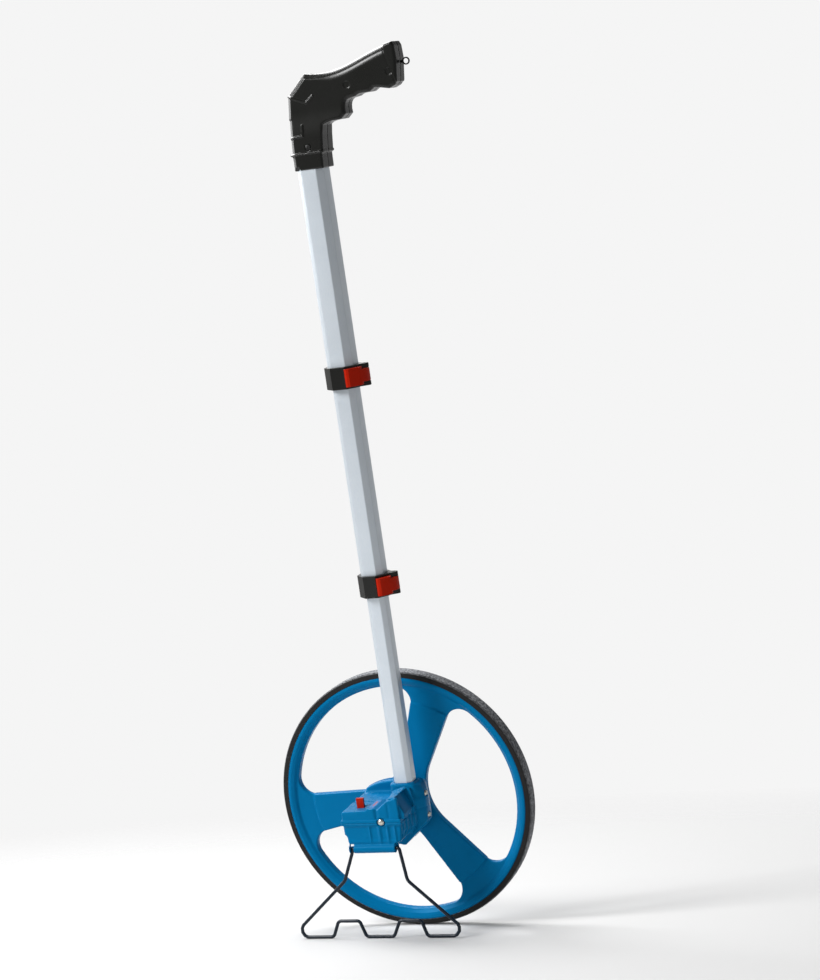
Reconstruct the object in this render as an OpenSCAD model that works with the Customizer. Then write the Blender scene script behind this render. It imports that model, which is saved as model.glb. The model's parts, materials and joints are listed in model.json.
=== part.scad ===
// Measuring wheel on a three-section telescopic pole, standing on its wire stand.
// Every part is drawn upright, with the wheel axis at the origin and the pole along Z,
// and stance() then leans the whole device onto its stand: +Z up, floor at z = 0,
// user on the +X side, stand on the -Y side.

/* [Wheel] */
// Rolling radius, for one metre of travel in each turn
wheel_r = 159.15; // [157:0.05:162]
// Width of the tyre
tyre_w = 20; // [18:1:22]
// Thickness of the rubber tyre
tyre_h = 7; // [6:0.5:8]
// Radius of the rounded shoulders of the tyre
shoulder_r = 2; // [1:0.5:3]
// Outer radius of the three windows
window_r = 140; // [136:1:141]
// Angle of the first window, from +X towards +Z
window_turn = 7.5; // [0:0.5:120]
// Distance from the wheel axis to the apex of a window
window_apex = 15.3; // [12:0.1:18]
// Half of the angle between the sides of a window
window_half = 54.6; // [53:0.1:56]
// Rounding of a window next to the hub
window_inner_r = 60; // [50:1:64]
// Rounding of a window next to the rim
window_outer_r = 19; // [15:1:22]
// Radius of the raised face of the spokes
spoke_face_r = 121; // [115:1:125]

/* [Axle and drive] */
// Radius of the axle
axle_r = 5; // [4.5:0.5:5.5]
// Running clearance of shafts in their bores, on the radius
run_gap = 0.05; // [0.02:0.01:0.08]
// Teeth of the drive gear and of the gear that it turns
drive_teeth = 18; // [18:1:19]
// Teeth of the front gear on the layshaft and of the gear on the counter
count_teeth = 16; // [15:1:16]
// Teeth of the idler gear between them
idler_teeth = 26; // [26:1:27]
// Module of all gears
gear_m = 1; // [0.98:0.01:1]
// Direction of the layshaft from the axle, from +X towards +Z
lay_dir = 197.1; // [196:0.1:198]
// Counter shaft, sideways from the wheel axis
count_x = 15.9; // [15.5:0.1:16]
// Counter shaft, above the wheel axis
count_z = 13.6; // [13.2:0.1:13.8]

/* [Pole] */
// Offset of the pole from the wheel axis, sideways
pole_x = 18; // [17:0.5:19]
// Distance from the wheel's middle plane to the pole
pole_out = 41.8; // [41:0.1:43]
// Width across flats of the lower tube
tube_af_lower = 23; // [22.5:0.5:23.5]
// Width across flats of the middle tube
tube_af_mid = 28; // [27.5:0.5:28]
// Width across flats of the top tube
tube_af_top = 32; // [32:0.5:32.5]
// Wall of the tubes
tube_wall = 1; // [0.9:0.1:1.1]
// Share of the width that each main flat takes
flat_share = 0.55; // [0.42:0.01:0.6]
// Height of the top of the socket that holds the lower tube
socket_z = 34; // [33:0.5:36]
// Height of the bottom of the lower clamp
lower_clamp_z = 261; // [260:1:270]
// Height of the bottom of the upper clamp
upper_clamp_z = 507.5; // [505:0.5:515]
// Height of a clamp collar
clamp_h = 26; // [24:1:28]
// Height of the bottom of the handle
handle_z = 759.5; // [755:0.5:765]

/* [Housing] */
// Distance from the wheel's middle plane to the front of the housing
front_out = 95; // [94:0.5:96]
// Distance from the wheel's middle plane to the gearbox's front wall
gearbox_out = 57; // [57:0.1:57.4]
// Wall of the moulded casings
wall = 2.5; // [2:0.1:3]
// Height of the flat top of the casing
deck_z = 15; // [14:0.5:16]

/* [Stand] */
// Diameter of the wire
wire_d = 4; // [3.6:0.1:4.4]
// Distance from the hinge to the foot, down the plane of the wire
stand_len = 103; // [100:1:106]
// Angle that the deployed stand makes with the pole
stand_splay = 12.3; // [11:0.1:14]
// Middle of the hinge, sideways
hinge_x = -11.5; // [-13:0.5:-10]
// Distance from the wheel's middle plane to the hinge
hinge_out = 93; // [92:0.5:94]
// Depth of the hinge below the wheel axis
hinge_drop = 31.7; // [31:0.1:33]
// Half of the length of the hinge tube
hinge_half = 27.5; // [26.5:0.5:27.5]

/* [Hidden] */
$fn = 48;

blue = [0.0, 0.44, 0.70];
black = [0.08, 0.08, 0.08];
red = [0.66, 0.09, 0.03];
silver = [0.75, 0.78, 0.83];
steel = [0.62, 0.62, 0.60];
white = [0.92, 0.92, 0.90];

// The wheel
rim_r = wheel_r - tyre_h;
tread_half = tyre_w / 2 - shoulder_r;
hub_r = 22;
hub_front = -11;
hub_rear = 13;
bush_r = 8;

// How the device leans: the front shoulder of the tyre and the foot of the stand share the floor
hinge_y = -hinge_out;
hinge_z = -hinge_drop;
foot_y = hinge_y - stand_len * sin(stand_splay);
foot_z = hinge_z - stand_len * cos(stand_splay);
lean = atan((wheel_r - shoulder_r + foot_z) / (-foot_y - tread_half));
lift = tread_half * sin(lean) + (wheel_r - shoulder_r) * cos(lean) + shoulder_r;

// The pole
pole_y = -pole_out;
tube_af = [tube_af_lower, tube_af_mid, tube_af_top];
slack = 0.15;
tube_z = [-20, lower_clamp_z + 1.5, upper_clamp_z + 2.5];
tube_top = [320, 553, 800];
clamp_af = [tube_af[1] + 9, tube_af[2] + 9];
lever_pivot_y = 3;
lever_pin_r = 1.5;

// The handle, with heights above the bottom of the handle
handle_half = 15;
neck_half = 17.4;
neck_head = 16.3;
neck_h = 43;
handle_top = 128;
handle_wall = 2.4;
handle_screw_at = [[60.3, 87.7], [112, 95.5], [4, 25.2]];
lanyard_at = [129, 104];

// The pose keeps the wheel's centre on x = 0 and the footprint's middle on y = 0
rear_y = tread_half * cos(lean) + (wheel_r - shoulder_r) * sin(lean) + shoulder_r;
front_y = (pole_y - handle_half) * cos(lean) - (handle_z + handle_top) * sin(lean);
shift_y = -(rear_y + front_y) / 2;

// The counter drive
front_y_wall = -front_out;
gearbox_y = -gearbox_out;
dome_y = -24;
cover_y = -14.5;
back_y = -12;
lay_gap = drive_teeth * gear_m;
lay_at = lay_gap * [cos(lay_dir), sin(lay_dir)];
count_at = [count_x, count_z];
// The idler is as far from both gears, below the line between them
idler_gap = (count_teeth + idler_teeth) * gear_m / 2;
apart = norm(count_at - lay_at);
across = (count_at - lay_at) / apart;
idler_at = (lay_at + count_at) / 2
    + sqrt(idler_gap * idler_gap - apart * apart / 4) * [across[1], -across[0]];
dir_in = atan2(idler_at[1] - lay_at[1], idler_at[0] - lay_at[0]);
dir_out = atan2(count_at[1] - idler_at[1], count_at[0] - idler_at[0]);
idler_phase = dir_in + 180 + 180 / idler_teeth;
count_phase = dir_out + 180 + (dir_out - idler_phase) * idler_teeth / count_teeth
    + 180 / count_teeth;
shaft_r = 2;
drum_r = 8.4;
drum_y = -89.3;
drum_pitch = 4.65;
drum_w = 4.35;
pinion_r = 2.8;
pinion_at = count_at + (drum_r + pinion_r + 0.4) * [cos(-75), sin(-75)];
train_y = [-66.2, -62.6];
plate_y = [-91.8, -62.2];
plate_z = -18.4;

// The reset lever
reset_at = [-27.2, -79, 6];
reset_w = 9;

// The front screw
front_screw_at = [2.1, 0.7];

// Points and outlines ---------------------------------------------------------------

function arc(c, r, a0, a1, n) = [for (i = [0:n]) c + r * [cos(a0 + (a1 - a0) * i / n),
    sin(a0 + (a1 - a0) * i / n)]];

function bezier(a, b, c, d, n) = [for (i = [0:n]) let (t = i / n, s = 1 - t)
    s * s * s * a + 3 * s * s * t * b + 3 * s * t * t * c + t * t * t * d];

function octagon(af, share) = let (h = af / 2, k = share * af / 2)
    [[k, -h], [h, -k], [h, k], [k, h], [-k, h], [-h, k], [-h, -k], [-k, -h]];

module stance() translate([0, shift_y, lift]) rotate([lean, 0, 0]) children();

// An outline in X and Z, thick from y0 to y1
module slab(y0, y1) translate([0, y1, 0]) rotate([90, 0, 0]) linear_extrude(y1 - y0) children();

// A profile of radius and Y, turned about the wheel axis
module turned() rotate([-90, 0, 0]) rotate_extrude($fn = 180) children();

module along_y(r, y0, y1, at = [0, 0])
    translate([at[0], y0, at[1]]) rotate([-90, 0, 0]) cylinder(r = r, h = y1 - y0);

module along_x(r, x0, x1, at) translate([x0, at[0], at[1]]) rotate([0, 90, 0])
    cylinder(r = r, h = x1 - x0);

module along_z(r, z0, z1, at) translate([at[0], at[1], z0]) cylinder(r = r, h = z1 - z0);

module block(x, y, z) translate([x[0], y[0], z[0]]) cube([x[1] - x[0], y[1] - y[0], z[1] - z[0]]);

module on_pole() translate([pole_x, pole_y, 0]) children();

module tube(af, z0, z1, thick) on_pole() translate([0, 0, z0]) linear_extrude(z1 - z0)
    difference() {
        polygon(octagon(af, flat_share));
        polygon(octagon(af - 2 * thick, flat_share));
    }

module tube_space(af, z0, z1) on_pole() translate([0, 0, z0]) linear_extrude(z1 - z0)
    polygon(octagon(af, flat_share));

// Wheel -----------------------------------------------------------------------------

// One window, with its middle line along +X: outer arc, two corners and the inner arc
function window_outline() = let (
    reach = window_r - window_outer_r,
    turn = window_half - asin((window_outer_r + window_apex * sin(window_half)) / reach),
    corner = reach * [cos(turn), sin(turn)],
    mirrored = [corner[0], -corner[1]],
    inner = [window_apex + window_inner_r / sin(window_half), 0],
    side = 90 + window_half)
    concat(arc([0, 0], window_r, -turn + 3, turn - 3, 16),
        arc(corner, window_outer_r, turn, side, 14),
        arc(inner, window_inner_r, side + 3, 357 - side, 14),
        arc(mirrored, window_outer_r, -side, -turn, 14));

module wheel_disc() color(blue) stance() difference() {
    union() {
        // Rim with its two lips, the web and the hub
        turned() polygon([[0, -3], [138, -3], [141.5, -4.6], [146.5, -7], [148.5, -9.4],
            [149.5, -10], [rim_r, -10], [rim_r, 10], [149.5, 10], [148.5, 9.4], [146.5, 7],
            [141.5, 4.6], [138, 3], [0, 3]]);
        along_y(spoke_face_r, -5, 5, $fn = 180);
        along_y(hub_r, hub_front, hub_rear);
    }
    for (i = [0:2]) rotate([0, -window_turn - 120 * i, 0])
        slab(-20, 20) polygon(window_outline());
    along_y(bush_r, hub_front - 1, hub_rear + 1);
}

module tyre() color(black) stance() turned() polygon(concat(
    [[rim_r, -tyre_w / 2]],
    arc([wheel_r - shoulder_r, -tread_half], shoulder_r, -90, 0, 5),
    arc([wheel_r - shoulder_r, tread_half], shoulder_r, 0, 90, 5),
    [[rim_r, tyre_w / 2]]));

module bush(y0, y1) difference() {
    along_y(bush_r, y0, y1);
    along_y(axle_r + run_gap, y0 - 1, y1 + 1);
}

module front_bush() color(white) stance() bush(hub_front + 0.5, -3);

module rear_bush() color(white) stance() bush(4, hub_rear - 0.5);

// A spur gear with straight-sided teeth and free play; phase is the angle of one tooth
module gear_outline(teeth, phase) {
    pitch = 360 / teeth;
    r = teeth * gear_m / 2;
    steps = [[r - 1.25 * gear_m, -0.3], [r, -0.2], [r + gear_m, -0.09],
        [r + gear_m, 0.09], [r, 0.2], [r - 1.25 * gear_m, 0.3]];
    polygon([for (i = [0:teeth - 1], s = steps) let (a = phase + (i + s[1]) * pitch)
        s[0] * [cos(a), sin(a)]]);
}

module gear(teeth, phase, y0, y1, at) translate([at[0], 0, at[1]])
    slab(y0, y1) gear_outline(teeth, phase);

module drive_gear() color(white) stance() difference() {
    union() {
        gear(drive_teeth, lay_dir, -20, -14.2, [0, 0]);
        along_y(10.5, -14.2, hub_front);
    }
    along_y(axle_r + 0.4, -21, -10);
}

module hub_cap() color(blue) stance() difference() {
    turned() polygon([[0, 28.5], [10, 28], [14.5, 25.5], [16, 22], [16, hub_rear], [0, hub_rear]]);
    along_y(13.5, hub_rear - 1, 24);
    along_y(9, 23, 26.5);
}

// Axle --------------------------------------------------------------------------------

module axle() color(steel) stance() {
    along_y(axle_r, -50, 14);
    along_y(3, 14, 22);
}

module axle_washer() color(steel) stance() difference() {
    along_y(6.5, 14, 15.4);
    along_y(3, 13, 16);
}

module axle_nut() color(steel) stance() difference() {
    translate([0, 15.4, 0]) rotate([-90, 0, 0]) cylinder(r = 5.8, h = 5, $fn = 6);
    along_y(3, 15, 21);
}

// Casings -------------------------------------------------------------------------------

cover_hole_r = 11.6;
cover_screw_at = [[-37, -17], [-37.5, 9], [25, -9], [-8, -35]];

// The two upright edges on the user's side are cut off between these points; t is the wall
// that is left behind the cuts
gearbox_cuts = [[[41.5, -46.5], [33, -57]], [[31, cover_y], [41.5, -31]]];
module gearbox_corners(t) translate([0, 0, -60]) linear_extrude(120) for (c = gearbox_cuts)
    translate(c[0]) rotate(atan2(c[1][1] - c[0][1], c[1][0] - c[0][0]))
        translate([-30, -t]) square([80, 40]);

// Rear of the gearbox seen along Y: flat bottom with a chamfer up to the right, and a domed top
function dome_outline(t) = concat([[-42 + t, -22 + t]],
    arc([-6, -46], 75 - t, t > 0 ? 116.5 : 118.7, 84, 10),
    [[16, 27.6 - t], [29 - t / 2, 24.6 - t], [38.5 - t, 19 - t / 2], [41.5 - t, 13 - t / 2],
    [41.5 - t, -14 + t / 2], [12 - t / 2, -40 + t], [-14 + t / 2, -40 + t]]);

// Front of the gearbox: level with the deck on the left, and up to the pole's socket
function deck_outline(t) = [[-45.5 + t, -22 + t], [-45.5 + t, deck_z - 1.5 - t / 2],
    [-44 + t / 2, deck_z - t], [-6 + t / 2, deck_z - t], [3 + t / 2, socket_z - t],
    [34 - t / 2, socket_z - t], [39 - t, 31 - t / 2], [41.5 - t, 25 - t / 2],
    [41.5 - t, -14 + t / 2], [12 - t / 2, -40 + t], [-14 + t / 2, -40 + t]];

module gearbox_body() color(blue) stance() difference() {
    union() {
        difference() {
            union() {
                slab(gearbox_y, dome_y) polygon(deck_outline(0));
                slab(dome_y, cover_y) polygon(dome_outline(0));
            }
            difference() {
                union() {
                    slab(gearbox_y + wall, dome_y) polygon(deck_outline(wall));
                    slab(dome_y - 0.1, dome_y + wall + 0.1) intersection() {
                        polygon(deck_outline(wall));
                        polygon(dome_outline(wall));
                    }
                    slab(dome_y + wall, cover_y + 1) polygon(dome_outline(wall));
                }
                gearbox_corners(wall);
            }
        }
        // Socket of the lower tube and boss of the axle
        intersection() {
            block([2, 39.5], [gearbox_y + 1, dome_y - 2.6], [-24, socket_z - 1]);
            slab(gearbox_y, dome_y) polygon(deck_outline(0.5));
        }
        along_y(9.5, gearbox_y + 1, -21);
        for (p = cover_screw_at) along_y(3.2, -40, cover_y, p);
    }
    gearbox_corners(0);
    tube_space(tube_af[0] + 2 * slack, tube_z[0], socket_z + 1);
    along_y(axle_r, -50, -10);
    along_y(shaft_r + 1, gearbox_y - 1, gearbox_y + wall + 1, lay_at);
    for (p = cover_screw_at) along_y(1.3, -28, -10, p);
    for (z = [18, -8.5]) along_x(1.6, 25, 45, [pole_y, z]);
}

module gearbox_cover() color(blue) stance() difference() {
    union() {
        slab(cover_y, back_y) polygon(dome_outline(0));
        along_y(4.5, -15.2, back_y, lay_at);
    }
    gearbox_corners(0);
    along_y(cover_hole_r, -20, -10);
    along_y(shaft_r + run_gap, -16, -13, lay_at);
    for (p = cover_screw_at) along_y(1.5, -16, -10, p);
}

module cover_screws() color(steel) stance() for (p = cover_screw_at) {
    along_y(1.3, -27, back_y, p);
    difference() {
        along_y(2.8, back_y, back_y + 0.8, p);
        translate([p[0], 0, p[1]]) block([-2, 2], [back_y + 0.4, back_y + 1], [-0.4, 0.4]);
    }
}

// Counter casing seen along Y: deck with a raised strip for the label, and the counter's hood
strip_z = 16.9;
function hood_outline(t) = concat(
    [[-47 + t, t > 0 ? -1 : 0], [-47 + t, deck_z - 2.4 - t / 2], [-46 + t, deck_z - 1.2 - t],
    [-15.8, deck_z - t]],
    t > 0 ? [] : [[-14.6, strip_z], [-6, strip_z]],
    [[-1.5 + t / 2, deck_z - t], [11 + t / 2, 25 - t], [22.5 - t / 2, 28.7 - t],
    [25.5 - t, 26.5 - t / 2], [25.5 - t, t > 0 ? -1 : 0]]);

function tray_outline(t) = [[-47 + t, t > 0 ? 1 : 0], [-47 + t, -11], [-43.5 + t, -24.5 + t],
    [23 - t, -24.5 + t], [25.5 - t, -11], [25.5 - t, t > 0 ? 1 : 0]];

// Sloping window face on the user's side of the hood
window_y = [-89.5, -62];
function window_block(t) = [[8, 20 - t], [14, 28.3 - t], [22, 29.5 - t], [31 - t, 9 + t / 2],
    [31 - t, 3 + t], [20, 3 + t]];

module upper_housing() color(blue) stance() {
    y0 = front_y_wall;
    y1 = gearbox_y - 0.2;
    difference() {
        union() {
            slab(y0, y1) polygon(hood_outline(0));
            slab(y0 - 1.3, y1) polygon([[-48.5, 0], [-48.5, 3.6], [27, 3.6], [27, 0]]);
            slab(window_y[0] - 2, window_y[1] + 2) polygon(window_block(0));
            // Raised rib down the front of the hood
            slab(y0 - 1, y0 + 1) polygon([[12, 3], [12, 24.5], [14.5, 25.3], [14.5, 3]]);
        }
        slab(y0 + wall, y1 + 1) polygon(hood_outline(wall));
        slab(window_y[0], window_y[1]) polygon(window_block(2));
        // Opening and seat of the counter window
        on_window() block([-9, 9], [window_y[0] + 2, window_y[1] - 2], [-5, 6]);
        on_window() block([-11, 11], [window_y[0], window_y[1]], [-1.2, 6]);
        // Slot of the reset lever and seat of the label
        block([reset_at[0] - 5, reset_at[0] + 5], [-81.5, -71.5], [10, 20]);
        block([-13.8, -6.8], [-90, -60], [strip_z - 0.6, strip_z + 1]);
        along_y(5.2, y0 - 2, y0 + 1.2, front_screw_at);
        along_y(1.6, y0 - 2, y0 + 5, front_screw_at);
    }
    // Ears of the reset lever's pin
    for (x = [-38, -20]) difference() {
        block([x, x + 2.5], [-84, -74], [2, deck_z - 1]);
        along_x(1.25, x - 1, x + 4, [reset_at[1], reset_at[2]]);
    }
    // Screw pillars
    for (p = pillar_at) difference() {
        along_z(3.4, 0.2, p[2], p);
        along_z(1.3, -1, p[2] - 2, p);
    }
}

pillar_at = [[-41, -89, 13], [-41, -63, 13], [-10, -88, 13]];

// The frame of the window: X along the slope, Z out of it
module on_window() translate([26.5, 0, 19]) rotate([0, 66, 0]) children();

module counter_window() color([0.8, 0.9, 0.95]) stance() on_window()
    block([-10.9, 10.9], [window_y[0] + 0.1, window_y[1] - 0.1], [-1.2, 0.4]);

module lower_housing() color(blue) stance() {
    y0 = front_y_wall;
    y1 = gearbox_y - 0.2;
    difference() {
        union() {
            slab(y0, y1) polygon(tray_outline(0));
            slab(y0 - 1.3, y1) polygon([[-48.5, -3], [-48.5, -0.15], [27, -0.15], [27, -3]]);
            // Ribs down the front
            for (x = [-14, 4, 12.5]) slab(y0 - 1, y0 + 1)
                polygon([[x, -23], [x, -2], [x + 3.5, -2], [x + 3.5, -23]]);
            block([hinge_x - hinge_half + 2, hinge_x + hinge_half - 2], [y0 + 0.5, y0 + 8], [-29, -23]);
            along_x(5.25, hinge_x - hinge_half, hinge_x + hinge_half, [hinge_y, hinge_z]);
        }
        slab(y0 + wall, y1 + 1) polygon(tray_outline(wall));
        block([-60, 40], [-110, -50], [-0.15, 5]);
        along_x(wire_d / 2 + run_gap, -60, 40, [hinge_y, hinge_z]);
        along_y(5.2, y0 - 2, y0 + 1.2, front_screw_at);
        along_y(1.6, y0 - 2, y0 + 5, front_screw_at);
        for (p = pillar_at) {
            along_z(3, -30, -18, p);
            along_z(1.5, -30, 1, p);
        }
    }
    for (p = pillar_at) difference() {
        along_z(4.2, -23, -0.2, p);
        along_z(1.5, -24, 1, p);
        along_z(3, -30, -18, p);
    }
    // Bearing of the layshaft and seat of the counter frame
    difference() {
        block([lay_at[0] - 4, lay_at[0] + 4], [-70.5, -67.5], [-23, -0.3]);
        along_y(shaft_r + run_gap, -72, -66, lay_at);
    }
    block([10, 16], [-88, -67], [-23, plate_z]);
}

module housing_screws() color(steel) stance() for (p = pillar_at) {
    along_z(1.3, -18, p[2] - 4, p);
    along_z(2.8, -20, -18, p);
}

module front_screw() color(steel) stance() {
    y = front_y_wall;
    intersection() {
        along_y(3.9, y - 3, y + 1.2, front_screw_at);
        translate([front_screw_at[0], y + 2.2, front_screw_at[1]]) sphere(r = 5);
    }
    along_y(1.5, y + 1, -90.8, front_screw_at);
}

module label_plate() color(silver) stance() block([-13.6, -7], [-89.8, -60.2],
    [strip_z - 0.6, strip_z + 0.1]);

// Counter drive ---------------------------------------------------------------------------

module layshaft() color(steel) stance() along_y(shaft_r, -71.5, -13.2, lay_at);

module lay_rear_gear() color(white) stance() difference() {
    gear(drive_teeth, lay_dir + 180 + 180 / drive_teeth, -20, -15.6, lay_at);
    along_y(shaft_r, -21, -15, lay_at);
}

module lay_front_gear() color(white) stance() difference() {
    gear(count_teeth, dir_in, train_y[0], train_y[1], lay_at);
    along_y(shaft_r, train_y[0] - 1, train_y[1] + 1, lay_at);
}

module idler_gear() color(white) stance() difference() {
    gear(idler_teeth, idler_phase, train_y[0], train_y[1], idler_at);
    along_y(shaft_r + run_gap, train_y[0] - 1, train_y[1] + 1, idler_at);
    along_y(idler_teeth / 2 - 4, train_y[0] - 1, train_y[0] + 1, idler_at);
}

module idler_shaft() color(steel) stance() along_y(shaft_r, train_y[0] - 0.6, -60, idler_at);

// Two end plates joined by a foot; the rear one carries all three shafts of the train
module counter_frame() color(steel) stance() difference() {
    union() {
        slab(plate_y[0], plate_y[0] + 1) polygon([[9, plate_z], [9, 10], [12, 18.5],
            [20, 18.5], [21.5, 10], [21, plate_z]]);
        slab(plate_y[1], plate_y[1] + 1) polygon([[-9, plate_z + 4], [-21.5, -10], [-21.5, -1.5],
            [2, 6], [12, 18.5], [20, 18.5], [21.5, 10], [21, plate_z], [0, plate_z]]);
        block([9.5, 21], [plate_y[0], plate_y[1] + 1], [plate_z, plate_z + 1]);
    }
    along_y(shaft_r, -100, -50, count_at);
    along_y(shaft_r, -70, -50, idler_at);
    along_y(shaft_r + run_gap, -70, -50, lay_at);
    along_y(1, -100, -50, pinion_at);
}

module counter_shaft() color(steel) stance() along_y(shaft_r, plate_y[0] - 0.4, -60, count_at);

module pinion_shaft() color(steel) stance() along_y(1, plate_y[0] - 0.3, -60.6, pinion_at);

module input_gear() color(white) stance() difference() {
    union() {
        gear(count_teeth, count_phase, train_y[0], train_y[1], count_at);
        along_y(4.5, drum_y + 4 * drum_pitch + drum_w, train_y[0], count_at);
    }
    along_y(shaft_r + run_gap, train_y[0] - 2, train_y[1] + 1, count_at);
}

// Number wheel n, counted from the input gear, with a hollow side
module number_wheel(n) color(black) stance() {
    y = drum_y + (5 - n) * drum_pitch;
    difference() {
        along_y(drum_r, y, y + drum_w, count_at);
        along_y(shaft_r + run_gap, y - 1, y + drum_w + 1, count_at);
        difference() {
            along_y(drum_r - 1.4, y - 1, y + 1.2, count_at);
            along_y(4, y - 2, y + 2, count_at);
        }
    }
}

module carry_pinions() color(white) stance() for (i = [1:4]) {
    y = drum_y + i * drum_pitch - 1.8;
    difference() {
        along_y(pinion_r, y, y + 3.2, pinion_at);
        along_y(1, y - 1, y + 5, pinion_at);
    }
}

module reset_lever() color(red) stance() difference() {
    union() {
        block([reset_at[0] - reset_w / 2, reset_at[0] + reset_w / 2],
            [reset_at[1] - 1.7, reset_at[1] + 1.7], [reset_at[2], 26]);
        along_x(3.2, reset_at[0] - 5.5, reset_at[0] + 4, [reset_at[1], reset_at[2]]);
        block([reset_at[0] - 3, reset_at[0] + 3], [reset_at[1] - 1.2, reset_at[1] + 1.2],
            [-12, reset_at[2]]);
    }
    along_x(1.2 + run_gap, -50, 0, [reset_at[1], reset_at[2]]);
}

module reset_pin() color(steel) stance() along_x(1.2, -38.5, -17, [reset_at[1], reset_at[2]]);

// Coils of the torsion spring beside the lever
module reset_spring() color(steel) stance() {
    for (i = [0:3]) translate([reset_at[0] + 4.9 + 0.55 * i, reset_at[1], reset_at[2]])
        rotate([0, 90, 0]) rotate_extrude($fn = 32) translate([2, 0]) circle(r = 0.3, $fn = 16);
    block([reset_at[0] + 4.65, reset_at[0] + 5.15], [reset_at[1] + 1.75, reset_at[1] + 2.25],
        [reset_at[2] - 7, reset_at[2]]);
}

// Pole ------------------------------------------------------------------------------------

module lower_tube() color(silver) stance() difference() {
    tube(tube_af[0], tube_z[0], tube_top[0], tube_wall);
    for (z = [18, -8.5]) along_x(1.6, 25, 45, [pole_y, z]);
}

module mid_tube() color(silver) stance() tube(tube_af[1], tube_z[1], tube_top[1], tube_wall);

module top_tube() color(silver) stance() difference() {
    tube(tube_af[2], tube_z[2], tube_top[2], tube_wall);
    along_y(1.6, -70, -20, [pole_x, 0] + handle_screw_at[2] + [0, handle_z]);
}

// A sleeve round the top end of a tube, which slides inside the next one
module guide_bush(i) color(black) stance() tube(tube_af[i + 1] - 2 * tube_wall - 2 * slack,
    tube_top[i] - 30, tube_top[i], (tube_af[i + 1] - 2 * tube_wall - 2 * slack - tube_af[i]) / 2);

module lower_guide_bush() guide_bush(0);

module mid_guide_bush() guide_bush(1);

module pole_screws() color(steel) stance() for (z = [18, -8.5]) {
    along_x(1.6, pole_x + tube_af[0] / 2 - 2, 41.5, [pole_y, z]);
    translate([41.5, pole_y, z]) rotate([0, 90, 0]) cylinder(r1 = 3.4, r2 = 2.2, h = 1.6);
}

// Clamp i, 0 the lower and 1 the upper: the collar sits on the end of the wider tube and grips
// the narrower one, and its cam lever turns about a pin parallel to the pole
clamp_z = [lower_clamp_z, upper_clamp_z];
function pivot(i) = [clamp_af[i] / 2 + 5.5, lever_pivot_y];

module clamp_collar(i) color(black) stance() on_pole() translate([0, 0, clamp_z[i]]) difference() {
    union() {
        linear_extrude(clamp_h) polygon(octagon(clamp_af[i], 0.42));
        for (z = [0, clamp_h - 5.4]) hull() {
            translate([clamp_af[i] / 2 - 4, -6, z]) cube([3, 14, 5.4]);
            translate([pivot(i)[0], pivot(i)[1], z]) cylinder(r = 4.2, h = 5.4, $fn = 32);
        }
    }
    translate([0, 0, -1]) linear_extrude(clamp_h + 2)
        polygon(octagon(tube_af[i] + 2 * slack, flat_share));
    translate([0, 0, tube_z[i + 1] - clamp_z[i]]) linear_extrude(clamp_h)
        polygon(octagon(tube_af[i + 1], flat_share));
    // Window of the pressure pad
    translate([tube_af[i] / 2 - 1, -4, 7]) cube([12, 10, 12]);
    translate([pivot(i)[0], pivot(i)[1], -1]) cylinder(r = lever_pin_r, h = clamp_h + 2);
}

module clamp_pin(i) color(steel) stance() on_pole()
    translate([pivot(i)[0], pivot(i)[1], clamp_z[i] + 0.4]) cylinder(r = lever_pin_r, h = clamp_h - 0.8);

// The plate wraps the front corner of the collar, with its barrel between the collar's ears
module clamp_lever(i) color(red) stance() on_pole() {
    h = clamp_af[i] / 2;
    p = pivot(i);
    plate = [[9, -h - 0.4], [9.6, -h - 2.8], [12, -h - 3.4], [15, -h - 2.6], [h + 3.5, -14],
        [h + 8.6, -6], [h + 9.8, 0], [h + 9.8, p[1]], [p[0], p[1] - 2], [h + 0.8, -8.8],
        [9.6, -h - 0.4]];
    difference() {
        union() {
            translate([0, 0, clamp_z[i] + 2.6]) linear_extrude(clamp_h - 5.2) intersection() {
                polygon(plate);
                translate([0, -40]) square([h + 5, 33]);
            }
            translate([0, 0, clamp_z[i] + 5.7]) linear_extrude(clamp_h - 11.4) polygon(plate);
            translate([p[0], p[1], clamp_z[i] + 5.7]) cylinder(r = 4.3, h = clamp_h - 11.4);
        }
        translate([p[0], p[1], clamp_z[i]]) cylinder(r = lever_pin_r + run_gap, h = clamp_h);
    }
}

// Pad that the lever's cam would press on the inner tube
module clamp_pad(i) color(white) stance() on_pole() difference() {
    translate([tube_af[i] / 2 + 0.2, -3.8, clamp_z[i] + 7.2])
        cube([clamp_af[i] / 2 - tube_af[i] / 2, 9.6, 11.6]);
    translate([pivot(i)[0], pivot(i)[1], clamp_z[i]]) cylinder(r = 4.6, h = clamp_h);
    translate([0, 0, tube_z[i + 1]]) linear_extrude(clamp_h)
        polygon(octagon(tube_af[i + 1] + 0.2, flat_share));
}

module lower_clamp_collar() clamp_collar(0);
module lower_clamp_lever() clamp_lever(0);
module lower_clamp_pin() clamp_pin(0);
module lower_clamp_pad() clamp_pad(0);
module upper_clamp_collar() clamp_collar(1);
module upper_clamp_lever() clamp_lever(1);
module upper_clamp_pin() clamp_pin(1);
module upper_clamp_pad() clamp_pad(1);

// Handle ------------------------------------------------------------------------------------

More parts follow.
